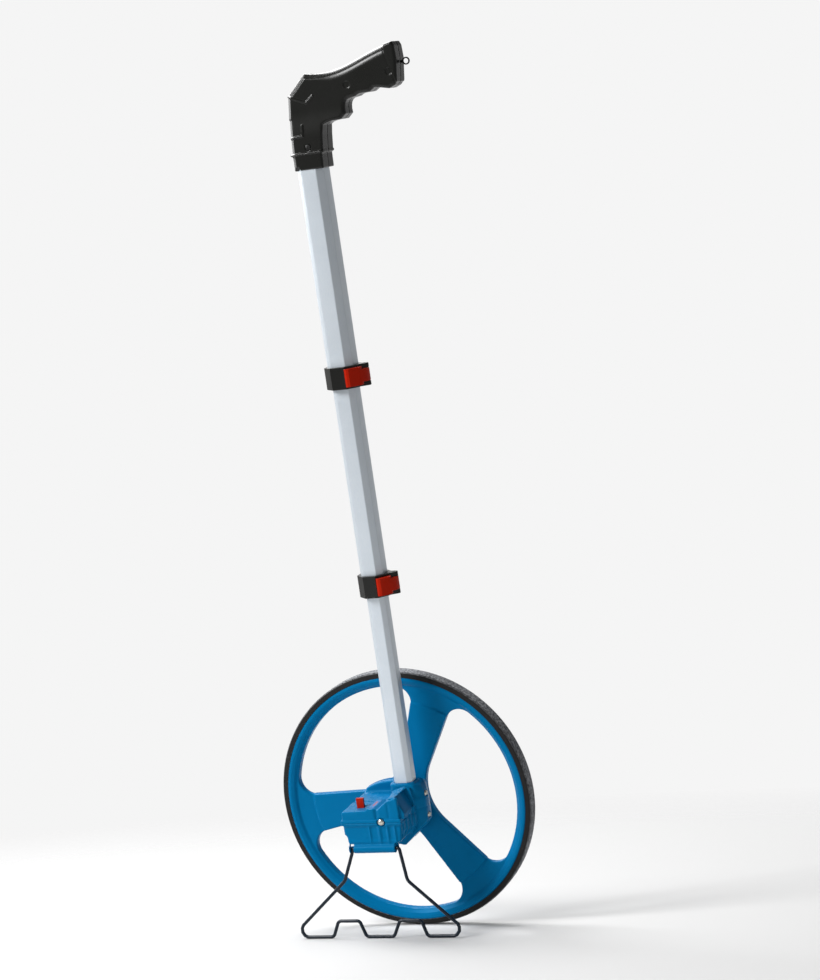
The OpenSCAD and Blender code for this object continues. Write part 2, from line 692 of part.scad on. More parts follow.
// Outline seen along Y, from the bottom of the pole sleeve up the back, over the grip and
// back under the three finger hollows and the finger guard
function handle_outline() = concat([[19, 0], [19.3, 16.5], [21.3, 17.6], [21.3, 20.4], [23, 37.5],
    [24.8, 47.5]],
    bezier([24.8, 47.5], [30, 51.5], [38, 50.5], [47, 51], 4),
    bezier([53.5, 56.5], [52.5, 64], [54, 71], [59, 72.3], 4),
    bezier([67, 73.5], [72, 77.5], [78, 75.5], [85, 76.2], 4),
    bezier([91, 79.8], [96, 80.2], [104, 77.5], [109, 76.7], 4),
    [[115.5, 79.2], [119.5, 83], [122.5, 109], [121.8, 122.5]],
    bezier([119.5, 127.3], [80, 122], [50, 97], [9, 106.5], 16),
    [[-14.2, 84], [-17.2, 58.5], [-16.3, 56.5], [-17.8, 20.4], [-19.8, 19.2], [-19.8, 17],
    [-18.1, 15.8], [-18, 0]]);

module handle_slab(inset, y0, y1) translate([pole_x, 0, handle_z]) slab(pole_y + y0, pole_y + y1)
    offset(delta = -inset) polygon(handle_outline());

// side is -1 for the front shell and 1 for the rear one
module handle_shell(side) {
    y = [for (d = [0, 11, 13.2, handle_half]) side * d];
    difference() {
        union() {
            handle_slab(0, min(y[0], y[1]), max(y[0], y[1]));
            handle_slab(1.2, min(y[0], y[2]), max(y[0], y[2]));
            handle_slab(3.4, min(y[0], y[3]), max(y[0], y[3]));
            // Deeper sleeve round the tube
            intersection() {
                handle_slab(0.6, min(0, side * neck_half), max(0, side * neck_half));
                on_pole() block([-30, 24], [-25, 25], [handle_z - 1, handle_z + neck_h]);
            }
        }
        // Hollow of the grip, with pillars for the screws
        difference() {
            handle_slab(handle_wall, min(0, side * (handle_half - handle_wall)) - 0.01,
                max(0, side * (handle_half - handle_wall)) + 0.01);
            on_pole() block([-30, 40], [-25, 25], [handle_z - 1, handle_z + neck_h]);
            for (p = [handle_screw_at[0], handle_screw_at[1]])
                along_y(4, pole_y - 20, pole_y + 20, [pole_x, handle_z] + p);
        }
        tube_space(tube_af[2], handle_z - 1, handle_z + neck_h - 1);
        for (p = handle_screw_at) {
            at = [pole_x, handle_z] + p;
            if (side < 0) along_y(3.6, pole_y - 30, pole_y - (p[1] < neck_h ? neck_head : 11), at);
            along_y(1.6, pole_y - 30, pole_y + (p[1] < neck_h ? neck_head : 11), at);
        }
    }
}

module handle_front_shell() color(black) stance() handle_shell(-1);

module handle_rear_shell() color(black) stance() handle_shell(1);

module handle_screws() color(steel) stance() for (p = handle_screw_at) {
    at = [pole_x, handle_z] + p;
    head = pole_y - (p[1] < neck_h ? neck_head : 11);
    along_y(1.6, head, pole_y + 9, at);
    along_y(3.2, head - 1, head, at);
}

module lanyard_ring() color(black) stance() {
    at = [pole_x, handle_z] + lanyard_at;
    difference() {
        union() {
            along_y(4.3, pole_y - 0.8, pole_y + 0.8, at);
            translate([at[0] - 6.4, pole_y - 0.8, at[1] - 1.6]) cube([5, 1.6, 3.2]);
        }
        along_y(2.9, pole_y - 2, pole_y + 2, at);
    }
}

// Stand -------------------------------------------------------------------------------------

// Centre line of half of the wire: across from the middle of the hinge, and down its plane
stand_half = [[hinge_half - 1, 0], [29.8, 0], [38.5, 38], [113.8, stand_len], [59.5, stand_len],
    [52.5, stand_len - 19], [25.5, stand_len - 19], [17.5, stand_len]];
stand_bends = [0, 2.4, 12, 8.5, 5, 5, 5, 5];

// Points along a path with round bends, each with its direction of travel
function bent_way(path, bends) = let (
    last = len(path) - 1,
    way = [for (i = [0:last - 1]) (path[i + 1] - path[i]) / norm(path[i + 1] - path[i])],
    turn = [for (i = [1:last - 1]) let (a = way[i - 1], b = way[i])
        atan2(a[0] * b[1] - a[1] * b[0], a * b)])
    concat([[path[0], atan2(way[0][1], way[0][0])]],
        [for (i = [1:last - 1]) let (
            t = turn[i - 1],
            side = sign(t),
            a = way[i - 1],
            start = atan2(a[1], a[0]),
            centre = path[i] - a * bends[i] * tan(abs(t) / 2) + side * bends[i] * [-a[1], a[0]],
            n = ceil(abs(t) / 18))
            for (j = [0:n]) let (d = start + t * j / n)
            [centre - side * bends[i] * [-sin(d), cos(d)], d]],
        [[path[last], atan2(way[last - 1][1], way[last - 1][0])]]);

// A rod of radius r swept along such points, which lie in the XY plane
module swept_rod(way, r, sides) {
    rings = len(way);
    polyhedron(
        points = [for (w = way, j = [0:sides - 1]) let (t = 360 * j / sides)
            [w[0][0] - r * cos(t) * sin(w[1]), w[0][1] + r * cos(t) * cos(w[1]), r * sin(t)]],
        faces = concat([[for (j = [0:sides - 1]) j]],
            [for (k = [0:rings - 2], j = [0:sides - 1]) let (n = (j + 1) % sides)
                [k * sides + j, (k + 1) * sides + j, (k + 1) * sides + n, k * sides + n]],
            [[for (j = [sides - 1:-1:0]) (rings - 1) * sides + j]]));
}

// The wire's two ends meet inside the hinge tube, where they are the hinge pins
module stand_wire() color([0.06, 0.08, 0.11]) stance() translate([hinge_x, hinge_y, hinge_z])
    rotate([90 - stand_splay, 0, 0]) mirror([0, 1, 0]) {
    last = len(stand_half) - 1;
    path = concat(stand_half, [for (i = [last:-1:0]) [-stand_half[i][0], stand_half[i][1]]]);
    bends = concat(stand_bends, [for (i = [last:-1:0]) stand_bends[i]]);
    swept_rod(bent_way(path, bends), wire_d * 0.485, 12);
    for (side = [-1, 1]) rotate([0, side * 90, 0])
        translate([0, 0, 3]) cylinder(r = wire_d / 2, h = hinge_half - 3);
}

wheel_disc();
tyre();
front_bush();
rear_bush();
drive_gear();
hub_cap();
axle();
axle_washer();
axle_nut();
gearbox_body();
gearbox_cover();
cover_screws();
upper_housing();
lower_housing();
housing_screws();
front_screw();
label_plate();
counter_window();
layshaft();
lay_rear_gear();
lay_front_gear();
idler_gear();
idler_shaft();
counter_frame();
counter_shaft();
input_gear();
number_wheel(1);  // number_wheel_1
number_wheel(2);  // number_wheel_2
number_wheel(3);  // number_wheel_3
number_wheel(4);  // number_wheel_4
number_wheel(5);  // number_wheel_5
carry_pinions();
pinion_shaft();
reset_lever();
reset_pin();
reset_spring();
lower_tube();
lower_guide_bush();
pole_screws();
mid_tube();
mid_guide_bush();
lower_clamp_collar();
lower_clamp_lever();
lower_clamp_pin();
lower_clamp_pad();
top_tube();
upper_clamp_collar();
upper_clamp_lever();
upper_clamp_pin();
upper_clamp_pad();
handle_front_shell();
handle_rear_shell();
handle_screws();
lanyard_ring();
stand_wire();
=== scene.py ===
"""Looks of the measuring wheel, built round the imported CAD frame.

Sizes are in millimetres in the device's own upright frame: origin at the wheel's centre, X towards
the user, Y along the axle away from the stand, Z up the pole. DEVICE leans them into the frame.
"""
import json
import math

import bmesh
import bpy
import numpy as np
from mathutils import Matrix, Vector


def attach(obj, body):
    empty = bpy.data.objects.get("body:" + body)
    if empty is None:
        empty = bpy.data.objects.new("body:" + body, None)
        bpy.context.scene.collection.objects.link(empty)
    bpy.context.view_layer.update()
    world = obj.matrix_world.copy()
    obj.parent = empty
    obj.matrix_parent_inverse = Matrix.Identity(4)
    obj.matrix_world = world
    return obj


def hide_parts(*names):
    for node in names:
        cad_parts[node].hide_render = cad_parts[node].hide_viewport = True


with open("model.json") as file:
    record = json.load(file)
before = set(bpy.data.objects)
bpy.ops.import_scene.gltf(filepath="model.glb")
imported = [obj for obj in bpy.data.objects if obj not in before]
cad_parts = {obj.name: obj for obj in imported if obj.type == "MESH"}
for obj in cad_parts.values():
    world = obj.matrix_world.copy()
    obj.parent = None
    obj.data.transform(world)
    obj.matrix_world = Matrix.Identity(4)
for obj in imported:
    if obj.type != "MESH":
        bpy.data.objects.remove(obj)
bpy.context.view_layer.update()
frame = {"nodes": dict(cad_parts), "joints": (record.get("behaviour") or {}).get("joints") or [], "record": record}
JOINTS = {j["name"]: j for j in frame["joints"]}

# The device's own axes in the frame, from the wheel's joint
AXLE = Vector(JOINTS["wheel_spin"]["axis"]).normalized()
UP = Vector((1, 0, 0)).cross(AXLE)
CENTRE = Vector(JOINTS["wheel_spin"]["pos_m"])
DEVICE = Matrix.Translation(CENTRE) @ Matrix((
    (1, AXLE.x, UP.x, 0), (0, AXLE.y, UP.y, 0), (0, AXLE.z, UP.z, 0), (0, 0, 0, 1)))
MM = 0.001
# Strength of the backdrop, and mesh step of the moulded shapes in millimetres
WHITE = 0.913
FINE = 0.8


# Camera, lights and floor -------------------------------------------------------------

def make_camera():
    """A long lens, low down on the stand's side, turned a little about its line of view."""
    eye = Vector((1.0542, -2.5267, 0.3809))
    ahead = Vector((-0.36273, 0.93047, 0.0514)).normalized()
    right = Vector((0.92875, 0.36548, -0.06196)).normalized()
    above = right.cross(ahead)
    data = bpy.data.cameras.new("camera")
    data.sensor_width = 36
    data.lens = 85.84
    cam = bpy.data.objects.new("camera", data)
    axes = Matrix((right, above, -ahead)).transposed().to_4x4()
    cam.matrix_world = Matrix.Translation(eye) @ axes
    bpy.context.scene.collection.objects.link(cam)
    bpy.context.scene.camera = cam


def area_light(name, at, aim, size, power):
    """A square soft light of `size` metres and `power` watts."""
    data = bpy.data.lights.new(name, "AREA")
    data.shape = "RECTANGLE"
    data.size = data.size_y = size
    data.energy = power
    lamp = bpy.data.objects.new(name, data)
    lamp.location = at
    lamp.rotation_euler = (Vector(aim) - Vector(at)).to_track_quat("-Z", "Y").to_euler()
    bpy.context.scene.collection.objects.link(lamp)


def make_floor():
    """A pale floor that fades into the white room round it."""
    mesh = bpy.data.meshes.new("floor")
    bm = bmesh.new()
    bmesh.ops.create_circle(bm, cap_ends=True, segments=96, radius=6)
    bm.to_mesh(mesh)
    bm.free()
    floor = bpy.data.objects.new("floor", mesh)
    bpy.context.scene.collection.objects.link(floor)
    n = Nodes("floor")
    n.set(Base_Color=(0.58, 0.58, 0.58), Roughness=0.8, Specular_IOR_Level=0.1)
    reach = n.add("ShaderNodeVectorMath", {0: n.coord}, operation="LENGTH").outputs["Value"]
    fade = n.ramp(reach, 0.5, 1.9, 0, 1)
    clear = n.add("ShaderNodeBsdfTransparent")
    both = n.add("ShaderNodeMixShader", {0: fade, 1: n.shader.outputs[0], 2: clear.outputs[0]})
    out = n.tree.nodes["Material Output"]
    n.tree.links.new(both.outputs[0], out.inputs["Surface"])
    mesh.materials.append(n.material)


def make_room():
    """A white backdrop, dimmer overhead and behind the camera, and three soft lights."""
    world = bpy.data.worlds.new("studio")
    world.use_nodes = True
    tree = world.node_tree
    coord = tree.nodes.new("ShaderNodeTexCoord").outputs["Generated"]

    def fade(direction, low, high, a, b):
        """From a to b as the way looked turns towards `direction`."""
        turn = tree.nodes.new("ShaderNodeVectorMath")
        turn.operation = "DOT_PRODUCT"
        turn.inputs[1].default_value = direction
        tree.links.new(coord, turn.inputs[0])
        ramp = tree.nodes.new("ShaderNodeMapRange")
        ramp.interpolation_type = "SMOOTHSTEP"
        for key, value in (("From Min", low), ("From Max", high), ("To Min", a), ("To Max", b)):
            ramp.inputs[key].default_value = value
        tree.links.new(turn.outputs["Value"], ramp.inputs["Value"])
        return ramp.outputs["Result"]

    both = tree.nodes.new("ShaderNodeMath")
    both.operation = "MULTIPLY"
    tree.links.new(fade((0, 0, 1), 0.31, 0.50, WHITE, 0.30), both.inputs[0])
    tree.links.new(fade((-0.363, 0.932, 0), 0.66, 0.90, 0.36, 1.0), both.inputs[1])
    tree.links.new(both.outputs[0], tree.nodes["Background"].inputs["Strength"])
    tree.nodes["Background"].inputs["Color"].default_value = (1, 1, 1, 1)
    bpy.context.scene.world = world
    area_light("key", (-1.9, -2.2, 2.3), (0, 0, 0.4), 1.3, 140)
    area_light("top", (-1.1, 0.95, 2.7), (0, 0, 0.6), 1.8, 100)
    area_light("back", (-2.8, 1.5, 1.9), (0, 0, 0.5), 1.6, 30)
    bpy.context.scene.view_settings.view_transform = "Standard"


# Materials ------------------------------------------------------------------------------

class Nodes:
    """A material's node tree, with a short way to add nodes and link them."""

    def __init__(self, name):
        self.material = bpy.data.materials.new(name)
        self.material.use_nodes = True
        self.tree = self.material.node_tree
        self.shader = self.tree.nodes["Principled BSDF"]
        self.coord = self.tree.nodes.new("ShaderNodeTexCoord").outputs["Object"]

    def add(self, kind, values=None, **settings):
        node = self.tree.nodes.new(kind)
        for key, value in settings.items():
            setattr(node, key, value)
        for key, value in (values or {}).items():
            if isinstance(value, bpy.types.NodeSocket):
                self.tree.links.new(value, node.inputs[key])
            else:
                node.inputs[key].default_value = value
        return node

    def noise(self, scale, detail=3.0, rough=0.5, where=None):
        node = self.add("ShaderNodeTexNoise", {
            "Vector": where or self.coord, "Scale": scale, "Detail": detail, "Roughness": rough})
        return node.outputs["Fac"]

    def stretched(self, x, y, z):
        node = self.add("ShaderNodeMapping", {"Vector": self.coord, "Scale": (x, y, z)})
        return node.outputs["Vector"]

    def ramp(self, fac, low, high, a, b):
        node = self.add("ShaderNodeMapRange", {
            "Value": fac, "From Min": low, "From Max": high, "To Min": a, "To Max": b})
        return node.outputs["Result"]

    def math(self, operation, a, b=0.0):
        return self.add("ShaderNodeMath", {0: a, 1: b}, operation=operation).outputs[0]

    def dot(self, a, b):
        node = self.add("ShaderNodeVectorMath", {0: a, 1: b}, operation="DOT_PRODUCT")
        return node.outputs["Value"]

    def face(self):
        """The way that the surface faces."""
        return self.add("ShaderNodeNewGeometry").outputs["Normal"]

    def mix(self, fac, a, b):
        a, b = (c if isinstance(c, bpy.types.NodeSocket) else (*c, 1) for c in (a, b))
        return self.add("ShaderNodeMix", {0: fac, 6: a, 7: b}, data_type="RGBA").outputs[2]

    def along(self, axis, origin=0.0):
        """The place along device axis 0, 1 or 2, in millimetres."""
        line = DEVICE.to_3x3().col[axis]
        start = line.dot(CENTRE) + origin * MM
        reach = self.math("SUBTRACT", self.dot(self.coord, tuple(line)), start)
        return self.math("MULTIPLY", reach, 1 / MM)

    def edge_wear(self, radius, low, high):
        """1 on convex edges: where the rounded normal leaves the true one."""
        bevel = self.add("ShaderNodeBevel", {"Radius": radius}, samples=4).outputs["Normal"]
        return self.ramp(self.dot(bevel, self.face()), low, high, 1.0, 0.0)

    def bump(self, height, strength, distance, normal=None):
        values = {"Height": height, "Strength": strength, "Distance": distance}
        if normal:
            values["Normal"] = normal
        return self.add("ShaderNodeBump", values).outputs["Normal"]

    def set(self, **sockets):
        for key, value in sockets.items():
            name = key.replace("_", " ")
            if isinstance(value, bpy.types.NodeSocket):
                self.tree.links.new(value, self.shader.inputs[name])
            elif isinstance(value, tuple):
                self.shader.inputs[name].default_value = (*value, 1)
            else:
                self.shader.inputs[name].default_value = value
        return self.material


def moulded(name, colour, rough, grain, specular=0.5, shift=0.06, wear=0.25, tint=(1, 1, 1)):
    """Injection-moulded plastic: slight mottling, fine texture, paler rubbed edges."""
    n = Nodes(name)
    mottled = n.noise(14, 4, 0.6)
    dark = tuple(c * (1 - shift) for c in colour)
    light = tuple(min(1, c * (1 + shift) + 0.002) for c in colour)
    base = n.mix(mottled, dark, light)
    rubbed = tuple(min(1, c * 1.5 + 0.03) for c in colour)
    patchy = n.ramp(n.noise(55, 5), 0.4, 0.62, 0, wear)
    worn = n.math("MULTIPLY", n.edge_wear(0.0008, 0.80, 0.97), patchy)
    base = n.mix(worn, base, rubbed)
    scuffs = n.noise(7, 6, 0.7)
    roughness = n.ramp(scuffs, 0.3, 0.7, rough - 0.05, rough + 0.08)
    fine = n.noise(2600, 2, 0.5)
    wavy = n.noise(38, 2, 0.5)
    normal = n.bump(fine, grain, 0.0001, n.bump(wavy, 0.05, 0.001))
    return n.set(Base_Color=base, Roughness=roughness, Normal=normal, Specular_Tint=tint,
                 Specular_IOR_Level=specular)


def black_nylon():
    """Fine-grained black, rubbed a little paler along the edges."""
    n = Nodes("black_nylon")
    base = n.mix(n.noise(14, 4, 0.6), (0.0050, 0.0053, 0.0042), (0.0062, 0.0064, 0.0054))
    worn = n.ramp(n.edge_wear(0.0012, 0.72, 0.95), 0, 1, 0, 0.5)
    base = n.mix(worn, base, (0.10, 0.102, 0.095))
    normal = n.bump(n.noise(2600, 2, 0.5), 0.03, 0.0001)
    return n.set(Base_Color=base, Roughness=n.ramp(n.noise(7, 6, 0.7), 0.3, 0.7, 0.24, 0.32),
                 Normal=normal, Specular_IOR_Level=0.34)


def tyre_rubber():
    """Black on the side walls, and worn grey with dust and grit on the tread."""
    n = Nodes("tyre_rubber")
    sideways = n.math("ABSOLUTE", n.dot(n.face(), tuple(AXLE)))
    tread = n.ramp(sideways, 0.75, 0.35, 0, 1)
    patches = n.noise(26, 6, 0.7)
    dust = n.noise(420, 3, 0.6)
    black = n.mix(patches, (0.008, 0.008, 0.008), (0.016, 0.016, 0.016))
    grey = n.mix(n.ramp(dust, 0.36, 0.66, 0, 1), (0.035, 0.040, 0.050), (0.34, 0.35, 0.37))
    worn = n.math("MULTIPLY", tread, n.ramp(patches, 0.3, 0.6, 0.55, 1))
    specks = n.math("MULTIPLY", n.ramp(dust, 0.62, 0.72, 0, 0.25),
                    n.ramp(patches, 0.45, 0.7, 0, 1))
    base = n.mix(specks, n.mix(worn, black, grey), (0.30, 0.31, 0.32))
    coarse = n.bump(n.noise(300, 2, 0.5), 0.4, 0.0006)
    normal = n.bump(n.noise(900, 3, 0.6), 0.5, 0.0004, coarse)
    return n.set(Base_Color=base, Roughness=n.ramp(patches, 0.3, 0.7, 0.6, 0.8), Normal=normal,
                 Specular_IOR_Level=0.2)


def anodised():
    """Satin anodised aluminium, with drawing lines along the pole."""
    n = Nodes("anodised_aluminium")
    along = n.stretched(900, 900, 7)
    lines = n.noise(1.0, 4, 0.6, along)
    cloudy = n.noise(9, 3, 0.5)
    base = n.mix(cloudy, (0.62, 0.68, 0.73), (0.70, 0.75, 0.80))
    base = n.mix(n.ramp(lines, 0.35, 0.65, 0, 0.5), base, (0.60, 0.67, 0.74))
    rough = n.ramp(n.noise(30, 5, 0.7), 0.3, 0.7, 0.36, 0.46)
    return n.set(Base_Color=base, Metallic=0.5, Roughness=rough,
                 Normal=n.bump(lines, 0.12, 0.0002))


def metal(name, colour, rough):
    """Plated or blackened steel, finely mottled."""
    n = Nodes(name)
    spots = n.noise(160, 5, 0.6)
    base = n.mix(spots, tuple(c * 0.8 for c in colour), colour)
    roughness = n.ramp(n.noise(340, 4, 0.6), 0.3, 0.7, rough - 0.07, rough + 0.1)
    return n.set(Base_Color=base, Metallic=1.0, Roughness=roughness,
                 Normal=n.bump(n.noise(1500, 3), 0.3, 0.0001))


def smoked_plastic():
    """Tinted window, a little hazed by handling."""
    n = Nodes("smoked_polycarbonate")
    rough = n.ramp(n.noise(120, 5, 0.7), 0.4, 0.75, 0.16, 0.26)
    tint = n.mix(n.noise(30, 3), (0.0, 0.15, 0.37), (0.0, 0.165, 0.40))
    return n.set(Base_Color=tint, Roughness=rough, Transmission_Weight=0.2, IOR=1.45,
                 Specular_IOR_Level=0.06)


def label():
    """Blue film with one plain red stripe, in place of lettering."""
    n = Nodes("label_film")
    along, across = n.along(1, -74.5), n.along(0, -10.3)
    stripe = n.math("MULTIPLY", n.ramp(n.math("ABSOLUTE", along), 8.0, 7.4, 0, 1),
                    n.ramp(n.math("ABSOLUTE", across), 1.0, 0.7, 0, 1))
    base = n.mix(n.noise(60, 4), (0.0, 0.13, 0.36), (0.0, 0.15, 0.40))
    base = n.mix(stripe, base, (0.42, 0.03, 0.02))
    return n.set(Base_Color=base, Roughness=n.ramp(n.noise(40, 3), 0.3, 0.7, 0.32, 0.42),
                 Specular_IOR_Level=0.3)


def make_materials():
    """The material of each slot in the record, and dark_steel for the handle's screws."""
    return {
        "blue_plastic": moulded("blue_abs", (0.0, 0.140, 0.325), 0.25, 0.06, specular=0.10,
                                tint=(0.15, 0.6, 1.0), wear=0.10),
        "tyre_rubber": tyre_rubber(),
        "nylon": moulded("natural_nylon", (0.72, 0.71, 0.66), 0.42, 0.1, shift=0.04),
        "steel": metal("zinc_steel", (0.66, 0.63, 0.56), 0.30),
        "tube_aluminium": anodised(),
        "black_plastic": black_nylon(),
        "red_plastic": moulded("red_plastic", (0.42, 0.011, 0.0008), 0.30, 0.08, specular=0.18,
                               tint=(1.0, 0.5, 0.4), wear=0.12),
        "label_film": label(),
        "clear_window": smoked_plastic(),
        "digit_plastic": moulded("digit_black", (0.008, 0.009, 0.011), 0.5, 0.1, specular=0.2),
        "stand_steel": moulded("coated_wire", (0.005, 0.011, 0.020), 0.28, 0.10, specular=0.3,
                               wear=0.3),
        "dark_steel": metal("blackened_steel", (0.05, 0.05, 0.05), 0.35),
    }


# Moulded shapes from distance fields ------------------------------------------------------
# A shape is a function of points (N, 3), in device millimetres, that gives each one's distance
# to its surface, negative inside. net() turns it into a smooth closed mesh.

def hypot(*parts):
    return np.sqrt(sum(p * p for p in parts))


def union(a, b, k=0.0):
    """The nearer of two shapes, blended with a fillet of about k."""
    if not k:
        return np.minimum(a, b)
    h = np.clip(0.5 + 0.5 * (b - a) / k, 0, 1)
    return b + (a - b) * h - k * h * (1 - h)


def common(a, b, k=0.0):
    return -union(-a, -b, k)


def rise(t, low, high):
    """0 below low, 1 above high, and smooth between."""
    s = np.clip((t - low) / (high - low), 0, 1)
    return s * s * (3 - 2 * s)


def outline_distance(u, v, points):
    """Distance in the plane to a closed outline, negative inside it."""
    best = np.full(len(u), 1e9)
    inside = np.zeros(len(u), bool)
    for (ax, ay), (bx, by) in zip(points, points[1:] + points[:1]):
        ex, ey = bx - ax, by - ay
        px, py = u - ax, v - ay
        t = np.clip((px * ex + py * ey) / max(ex * ex + ey * ey, 1e-12), 0, 1)
        best = np.minimum(best, (px - t * ex) ** 2 + (py - t * ey) ** 2)
        if ay != by:
            crosses = (ay > v) != (by > v)
            inside ^= crosses & (px < ex * (v - ay) / (by - ay))
    return np.where(inside, -1, 1) * np.sqrt(best)


def line_distance(u, v, points):
    """Distance in the plane to an open line of points."""
    best = np.full(len(u), 1e9)
    for (ax, ay), (bx, by) in zip(points, points[1:]):
        ex, ey = bx - ax, by - ay
        t = np.clip(((u - ax) * ex + (v - ay) * ey) / (ex * ex + ey * ey), 0, 1)
        best = np.minimum(best, (u - ax - t * ex) ** 2 + (v - ay - t * ey) ** 2)
    return np.sqrt(best)


def rounded(points, radii, steps=5):
    """An outline with its corners turned to arcs; radii is one number or one for each corner."""
    made, n = [], len(points)
    for i, point in enumerate(points):
        r = radii if isinstance(radii, (int, float)) else radii[i]
        p, a, b = (Vector(q) for q in (point, points[i - 1], points[(i + 1) % n]))
        da, db = a - p, b - p
        la, lb = da.length, db.length
        da.normalize()
        db.normalize()
        half = da.angle(db, 0) / 2
        if r <= 0 or half > 1.54:
            made.append(tuple(p))
            continue
        back = min(r / math.tan(half), la * 0.49, lb * 0.49)
        r = back * math.tan(half)
        centre = p + (da + db).normalized() * (r / math.sin(half))
        start, end = p + da * back - centre, p + db * back - centre
        for k in range(steps + 1):
            made.append(tuple(centre + start.lerp(end, k / steps).normalized() * r))
    return made


def thick(flat, across, r):
    """An outline given thickness, with rounded rims: across is the distance to its two faces."""
    a, b = flat + r, across + r
    return np.minimum(np.maximum(a, b), 0) + hypot(np.maximum(a, 0), np.maximum(b, 0)) - r


def slab(p, points, y0, y1, r):
    """An outline in X and Z, from y0 to y1."""
    flat = outline_distance(p[:, 0], p[:, 2], points)
    return thick(flat, np.abs(p[:, 1] - (y0 + y1) / 2) - (y1 - y0) / 2, r)


def box_distance(p, x, y, z, r=0.0):
    """A box from its lowest and highest x, y and z."""
    q = [np.abs(p[:, i] - (s[0] + s[1]) / 2) - (s[1] - s[0]) / 2 + r
         for i, s in enumerate((x, y, z))]
    out = hypot(*(np.maximum(c, 0) for c in q))
    return out + np.minimum(np.maximum(np.maximum(q[0], q[1]), q[2]), 0) - r


def rod(p, axis, at, low, high, radius, r=0.0):
    """A cylinder along device axis 0, 1 or 2, with its other two coordinates at `at`."""
    i, j = [k for k in range(3) if k != axis]
    round_way = hypot(p[:, i] - at[0], p[:, j] - at[1]) - radius
    return thick(round_way, np.abs(p[:, axis] - (low + high) / 2) - (high - low) / 2, r)


def net(shape, low, high, step):
    """Naive surface nets, with each vertex then moved onto the shape's surface."""
    low, high = np.array(low, float), np.array(high, float)
    size = np.ceil((high - low) / step).astype(int) + 1
    axes = [low[i] + step * np.arange(size[i]) for i in range(3)]
    grid = np.stack(np.meshgrid(*axes, indexing="ij"), -1).reshape(-1, 3)
    parts = np.array_split(grid, max(1, len(grid) // 400000))
    value = np.concatenate([shape(some) for some in parts]).reshape(size)
    value[value == 0] = 1e-9
    inside = value < 0
    count = np.zeros(size - 1)
    total = np.zeros((*(size - 1), 3))
    corners = [(i, j, k) for i in (0, 1) for j in (0, 1) for k in (0, 1)]

    def part(a, c):
        return a[c[0]:c[0] + size[0] - 1, c[1]:c[1] + size[1] - 1, c[2]:c[2] + size[2] - 1]

    for a in corners:
        for axis in range(3):
            if a[axis]:
                continue
            b = tuple(1 if i == axis else a[i] for i in range(3))
            va, vb = part(value, a), part(value, b)
            cut = part(inside, a) != part(inside, b)
            t = np.where(cut, va / np.where(cut, va - vb, 1), 0)
            for i in range(3):
                total[..., i] += np.where(cut, (a[i] + t) if i == axis else a[i], 0)
            count += cut
    used = count > 0
    index = np.full(used.shape, -1)
    index[used] = np.arange(used.sum())
    points = low + step * (np.argwhere(used) + total[used] / count[used][:, None])
    faces = []
    for axis in range(3):
        u, v = (axis + 1) % 3, (axis + 2) % 3
        a = np.moveaxis(inside, (axis, u, v), (0, 1, 2))
        cell = np.moveaxis(index, (axis, u, v), (0, 1, 2))
        change = a[:-1, 1:-1, 1:-1] != a[1:, 1:-1, 1:-1]
        i, j, k = np.nonzero(change)
        quad = np.stack([cell[i, j, k], cell[i, j + 1, k],
                         cell[i, j + 1, k + 1], cell[i, j, k + 1]], 1)
        flip = ~a[:-1, 1:-1, 1:-1][i, j, k]
        quad[flip] = quad[flip][:, ::-1]
        faces.append(quad)
    small = 0.02
    for _ in range(3):
        slope = np.stack([(shape(points + small * e) - shape(points - small * e)) / (2 * small)
                          for e in np.eye(3)], 1)
        far = shape(points)
        move = slope * (far / np.maximum((slope ** 2).sum(1), 0.25))[:, None]
        length = np.linalg.norm(move, axis=1, keepdims=True)
        points -= move * np.minimum(1, 0.45 * step / np.maximum(length, 1e-9))
    return points, np.concatenate(faces).tolist()


def piece(name, points, faces, body, slot, stands_for, sharp=35):
    """A mesh piece from device millimetres, that rides on a body and stands for CAD nodes."""
    world = (np.asarray(points) * MM) @ np.array(DEVICE.to_3x3()).T + np.array(DEVICE.translation)
    mesh = bpy.data.meshes.new(name)
    mesh.from_pydata(world.tolist(), [], faces)
    mesh.validate()
    mesh.polygons.foreach_set("use_smooth", [True] * len(mesh.polygons))
    mesh.set_sharp_from_angle(angle=math.radians(sharp))
    mesh.materials.append(MATERIALS[slot])
    obj = bpy.data.objects.new(name, mesh)
    bpy.context.scene.collection.objects.link(obj)
    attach(obj, body)
    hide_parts(*stands_for)


def bezier(a, b, c, d, n):
    """Points along a curve from a to d, pulled by b and c."""
    a, b, c, d = (Vector(q) for q in (a, b, c, d))
    return [tuple(a * (1 - t) ** 3 + b * 3 * t * (1 - t) ** 2 + c * 3 * t * t * (1 - t) + d * t ** 3)
            for t in (i / n for i in range(n + 1))]


def octagon(af, share=0.55):
    """Eight sides, af across the flats; share is how much of af the four square sides take."""
    h, k = af / 2, share * af / 2
    return [(k, -h), (h, -k), (h, k), (k, h), (-k, h), (-h, k), (-h, -k), (-k, -h)]


# Handle -----------------------------------------------------------------------------------

# Where the pole's middle is, the bottom of the handle, and the tubes' widths across the flats
POLE = (18.0, -41.8)
HANDLE_Z = 759.5
TUBE_AF = {"lower": 23, "mid": 28, "top": 32}
